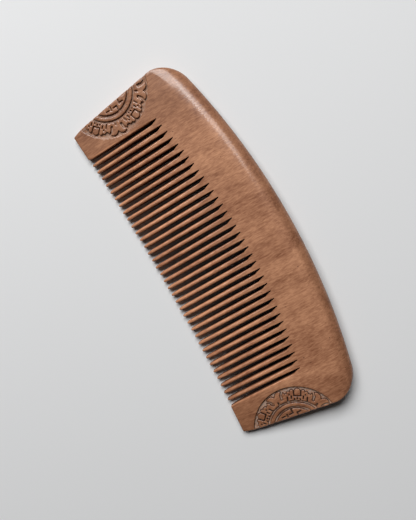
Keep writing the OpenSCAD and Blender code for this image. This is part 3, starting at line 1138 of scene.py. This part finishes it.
def carving(calc, given):
    """Where the carved floors and walls are inside the two circles, by depth below the sloping top; where the
    walls between the teeth and the outer edges are, away from both faces; and where the teeth are painted
    paler as painted light.
    The carved walls, the gaps' walls and the outer edges carry painted shade. On the roundel at the +X end
    the floors get more dust and the walls more painted shade."""
    x, y, z = calc.split(given["Place"])
    below = y * given["Slope"] + given["Middle Thickness"] - z
    from_end = given["End Distance"] - abs(x) * given["End Normal X"] - y * given["End Normal Y"]
    deepest = ramp(calc, from_end, 0.0, END_RUN / MM) * (1 - END_SHARE) + END_SHARE
    depth = below / given["Depth"] / deepest
    flat = calc.vector(x, y)
    away = [
        calc.value("ShaderNodeVectorMath", {0: flat, 1: given[name]}, "Value", operation="DISTANCE")
        for name in ("First Centre", "Second Centre")
    ]
    within = calc.math("MINIMUM", *away) < given["Radius"]
    # what lies deeper is the comb's side, which starts right at its end
    within = within * (depth < 1.6) * ramp(calc, from_end, 0.0003, 0.0007)
    side = ramp(calc, x, -0.05, 0.05)
    walls = ramp(calc, depth, 0.04, 0.18) - ramp(calc, depth, 0.95, 0.995)
    from_face = calc.math("MINIMUM", below, z)
    in_row = abs(x - given["Row Shift"]) < given["Row Half"]
    facing_x = calc.split(given["Facing"])[0]
    # Walls, Gaps and Edges are masks for painted shade; the last mask lightens the teeth towards their tips
    # as painted light
    return {
        "Floors": ramp(calc, depth, 0.85, 1.0) * (side * 0.3 + 0.7) * within,
        "Walls": walls * (side * 0.5 + 0.5) * within,
        "Gaps": ramp(calc, from_face, 0.0004, 0.0014) * in_row * ramp(calc, abs(facing_x), 0.4, 0.8),
        "Edges": ramp(calc, from_face, 0.0007, 0.0022),
        "Worn": ramp(calc, -y, -0.005, 0.006) * in_row,
    }


def new_material(name):
    """A material with nodes: itself, a writer for them, its shader's inputs and its coordinates."""
    material = bpy.data.materials.new(name)
    material.use_nodes = True
    tree = material.node_tree
    calc = Calc(tree)
    return material, calc, tree.nodes["Principled BSDF"].inputs, calc.outputs("ShaderNodeTexCoord")


def opaque(rgb, factor=1.0):
    """A colour for a socket, darkened by a factor."""
    return (*(factor * c for c in rgb), 1.0)


def wood_material(name, plan, look, roundels):
    """Oiled reddish-brown wood with dust left in the carving, painted shade on the carved walls, the gaps'
    walls and the rounded edges, and painted light on the teeth.
    """
    material, calc, shader, given = new_material(name)
    place = given["Object"]
    colours = {"Light": opaque(look.light), "Dark": opaque(look.dark), "Fleck": opaque(look.fleck)}
    grained = place_group(calc, "Wood grain", grain, Place=place, **colours)
    centres = [Vector((r.centre[0] / MM, r.centre[1] / MM, 0.0)) for r in roundels]
    carved = place_group(
        calc,
        "Carved depth",
        carving,
        Place=place,
        Slope=plan.slope,
        Middle_Thickness=plan.top_z(0) / MM,
        Depth=roundels[0].depth / MM,
        Radius=(roundels[0].radius + 0.05) / MM,
        First_Centre=centres[0],
        Second_Centre=centres[1],
        Facing=given["Normal"],
        Row_Shift=plan.shift / MM,
        Row_Half=plan.gap_n * plan.pitch / 2 / MM,
        End_Normal_X=float(plan.end_n[0]),
        End_Normal_Y=float(plan.end_n[1]),
        End_Distance=float(plan.end_d) / MM,
    )
    patches = ramp(calc, streaks(calc, place, 0.8, 1.0, 3.0), 0.32, 0.62)
    dusty = carved["Floors"] * patches * look.dust_share
    base = blend_colours(calc, dusty, grained["Colour"], opaque(look.dust))
    # painted shade: the carved walls and the walls between the teeth are darkened towards a dark fleck
    # colour, stronger towards +X
    painted_shade_mask = calc.math("MAXIMUM", carved["Walls"], carved["Gaps"]) * look.painted_shade
    base = blend_colours(calc, painted_shade_mask, base, opaque(look.fleck, 0.4))
    # painted shade on the rounded edges and sides, together with the darkening towards the ends and the lower
    # +X corner; less of it on dusty floors
    shade = calc.math("MAXIMUM", grained["Shade"], carved["Edges"] * 0.55) * (dusty * -0.7 + 1.0)
    base = blend_colours(calc, shade, base, (0.45, 0.38, 0.32, 1), "MULTIPLY")
    # painted light: the teeth are made paler towards their tips, in place of the light on their crests
    base = blend_colours(calc, carved["Worn"], base, (1.22, 1.2, 1.17, 1), "MULTIPLY")
    dull = calc.math("MAXIMUM", carved["Floors"], carved["Walls"]) * 0.85
    dull = calc.math("MAXIMUM", dull, carved["Gaps"])
    fibres = {"Height": grained["Height"], "Strength": 0.2, "Distance": 0.00006}
    finish = {
        "Base Color": base,
        "Roughness": grained["Pores"] * 0.2 + look.roughness + dull * 0.35,
        "Coat Weight": dull * -look.coat + look.coat,
        "Normal": calc.value("ShaderNodeBump", fibres),
        "Coat Roughness": 0.18,
        "IOR": 1.48,
        "Specular IOR Level": 0.25,
    }
    for socket, value in finish.items():
        calc.feed(shader[socket], value)
    return material


# --------------------------------------------------------------- stage


def floor_material(look):
    """Plain pale board under the comb."""
    material, calc, shader, given = new_material("pale_floor")
    cloud = ramp(calc, streaks(calc, given["Object"], 260.0, 260.0, 1.0), 0.2, 0.8)
    calc.feed(shader["Base Color"], blend_colours(calc, cloud, opaque(look.floor), opaque(look.floor, 0.985)))
    calc.feed(shader["Roughness"], 0.9)
    calc.feed(shader["Specular IOR Level"], 0.2)
    return material


def area_light(name, place, width, depth, watts):
    """A soft light that faces the comb, with one side level."""
    data = bpy.data.lights.new(name, "AREA")
    data.shape = "RECTANGLE"
    data.size = width
    data.size_y = depth
    data.energy = watts
    made = new_object(name, data)
    made.location = place
    made.rotation_euler = (-place).to_track_quat("-Z", "Y").to_euler()
    return made


# Camera: where it stands, where it looks and what is up in the picture
EYE = Vector((-0.003763, 0.024415, 0.247106))
LOOK = Vector((0.01862909, -0.12828632, -0.99156219))
UP = Vector((-0.86662227, 0.49250947, -0.08000165))
SENSOR = 36
LENS = 600 / 416 * SENSOR  # a focal length of 600 pixels on a picture 416 wide


def set_camera():
    """Sets the camera at the photograph's angle."""
    data = bpy.data.cameras.new("camera")
    data.sensor_fit = "HORIZONTAL"
    data.sensor_width = SENSOR
    data.lens = LENS
    data.clip_start = 0.01
    data.clip_end = 20
    back = -LOOK.normalized()
    right = UP.cross(back).normalized()
    turn = Matrix((right, back.cross(right), back)).transposed().to_4x4()
    made = new_object("camera", data)
    made.matrix_world = Matrix.Translation(EYE) @ turn
    bpy.context.scene.camera = made


# ----------------------------------------------------------- operators


def sizes():
    """The plan and the roundels for the sizes in the scene."""
    scene = bpy.context.scene
    plan = Plan(scene.comb_board, scene.comb_teeth)
    return plan, [Roundel(plan, scene.comb_roundels, *row) for row in ROUNDELS]


class COMB_OT_board(Operator):
    """Makes the board with its rounded edges and carved roundels"""

    bl_idname = "comb.carve_board"
    bl_label = "Carve the board"

    def execute(self, context):
        made = new_object("board", new_mesh("board", *board_mesh(*sizes())))
        if not made.data.polygons:
            raise RuntimeError("the board has no faces")
        return {"FINISHED"}


class COMB_OT_teeth(Operator):
    """Saws the row of teeth and welds it to the board"""

    bl_idname = "comb.saw_teeth"
    bl_label = "Saw the teeth"

    def execute(self, context):
        scene = context.scene
        teeth = scene.comb_teeth
        board = bpy.data.objects.get("board")
        if board is None:
            raise RuntimeError("carve the board first")
        plan, roundels = sizes()
        tooth = new_object("tooth", new_mesh("tooth", *tooth_mesh(plan)))
        values = {
            "Tooth": tooth,
            "Count": teeth.gaps - 1,
            "First": plan.gap_x(0) / MM,
            "Pitch": teeth.pitch,
            "Root Centre X": teeth.shift,
            "Root Centre Y": plan.root_cy / MM,
            "Root Radius": teeth.root_radius,
            "Tips Centre Y": plan.tips_cy / MM,
            "Tips Radius": plan.tips_r / MM,
            "Drawn Length": UNIT / MM,
            "Kept Length": KEPT / MM,
            "Mark": CODE / MM,
            "Middle Thickness": plan.top_z(0) / MM,
            "Slope": plan.slope,
            "Lean": teeth.lean,
            "Unevenness": teeth.uneven,
            "Seed": teeth.seed,
            "Material": wood_material("oiled_wood", plan, scene.comb_wood, roundels),
        }
        row = board.modifiers.new("Row of teeth", "NODES")
        row.node_group = teeth_tree(values)
        set_inputs(row, values)
        comb = settled(board, PIECE)
        bpy.data.objects.remove(tooth)
        for name in RANDOMS:
            found = comb.data.attributes.get(name)
            if found is not None:
                comb.data.attributes.remove(found)
        check_closed(comb.data)
        mark_sharp(comb.data, plan)
        weigh = comb.modifiers.new("Weighted normals", "WEIGHTED_NORMAL")
        weigh.keep_sharp = True
        comb = settled(comb, PIECE)
        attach(comb, "root")
        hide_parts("comb")
        return {"FINISHED"}


def mark_sharp(mesh, plan):
    """Marks the sharp edges, and those of a root's corner, which would tint the flat top."""
    work = bmesh.new()
    work.from_mesh(mesh)
    for e in work.edges:
        at_root = any(abs(v.co.y * MM - plan.root_y(v.co.x * MM)) < 0.01 for v in e.verts)
        walls = sum(abs(f.normal.z) < 0.2 for f in e.link_faces)
        e.smooth = e.calc_face_angle(0.0) < math.radians(SHARP) and not (at_root and walls == 1)
    work.to_mesh(mesh)
    work.free()


def check_closed(mesh):
    """Stops when the welded comb isn't one closed skin."""
    work = bmesh.new()
    work.from_mesh(mesh)
    loose = sum(1 for e in work.edges if len(e.link_faces) != 2)
    volume = work.calc_volume(signed=True)
    work.free()
    if loose or volume <= 0:
        raise RuntimeError(f"the comb's skin has {loose} open edges, and its volume is {volume}")


class COMB_OT_stage(Operator):
    """Sets the pale floor, the soft lights and the camera"""

    bl_idname = "comb.set_stage"
    bl_label = "Set the stage"

    def execute(self, context):
        look = context.scene.comb_stage
        half, low = 3000.0, -0.03  # the comb lies that little above its floor
        corners = [(-half, -half, low), (half, -half, low), (half, half, low), (-half, half, low)]
        mesh = new_mesh("floor", corners, [(0, 1, 2, 3)])
        mesh.materials.append(floor_material(look))
        floor = new_object("floor", mesh)
        for name in ("key", "rim"):
            turn, height, width, depth, watts = (
                getattr(look, f"{name}_{part}") for part in ("bearing", "height", "width", "depth", "power")
            )
            level = math.cos(height)
            way = Vector((level * math.cos(turn), level * math.sin(turn), math.sin(height)))
            light = area_light(name, way * look.light_distance, width, depth, watts)
            light.visible_diffuse = name == "key"
        context.scene.view_settings.view_transform = "Standard"
        world = bpy.data.worlds.new("studio")
        world.use_nodes = True
        sky = world.node_tree.nodes["Background"]
        sky.inputs["Color"].default_value = (1.0, 1.0, 1.0, 1.0)
        sky.inputs["Strength"].default_value = look.sky
        context.scene.world = world
        set_camera()
        return {"FINISHED"}


class COMB_PT_panel(Panel):
    """Lists the comb's sizes and its operators"""

    bl_label = "Wooden Comb"
    bl_idname = "COMB_PT_panel"
    bl_space_type = "VIEW_3D"
    bl_region_type = "UI"
    bl_category = "Comb"

    def draw(self, context):
        layout = self.layout
        for title, name, _ in GROUPS:
            box = layout.box()
            box.label(text=title)
            group = getattr(context.scene, name)
            for prop in group.bl_rna.properties:
                if prop.identifier not in ("rna_type", "name"):
                    box.prop(group, prop.identifier)
        for operator in OPERATORS:
            layout.operator(operator.bl_idname)


GROUPS = (
    ("Board", "comb_board", BoardSizes),
    ("Teeth", "comb_teeth", TeethSizes),
    ("Roundels", "comb_roundels", RoundelSizes),
    ("Wood", "comb_wood", WoodLook),
    ("Stage", "comb_stage", StageLook),
)
OPERATORS = (COMB_OT_board, COMB_OT_teeth, COMB_OT_stage)


def register():
    """Registers the sizes, the operators and the panel."""
    for _, name, group in GROUPS:
        bpy.utils.register_class(group)
        setattr(bpy.types.Scene, name, PointerProperty(type=group))
    for operator in OPERATORS:
        bpy.utils.register_class(operator)
    bpy.utils.register_class(COMB_PT_panel)


def unregister():
    """Takes it all out again."""
    bpy.utils.unregister_class(COMB_PT_panel)
    for operator in reversed(OPERATORS):
        bpy.utils.unregister_class(operator)
    for _, name, group in reversed(GROUPS):
        delattr(bpy.types.Scene, name)
        bpy.utils.unregister_class(group)


def main():
    """Makes the whole scene."""
    register()
    bpy.ops.comb.carve_board()
    bpy.ops.comb.saw_teeth()
    bpy.ops.comb.set_stage()


if __name__ == "__main__":
    main()
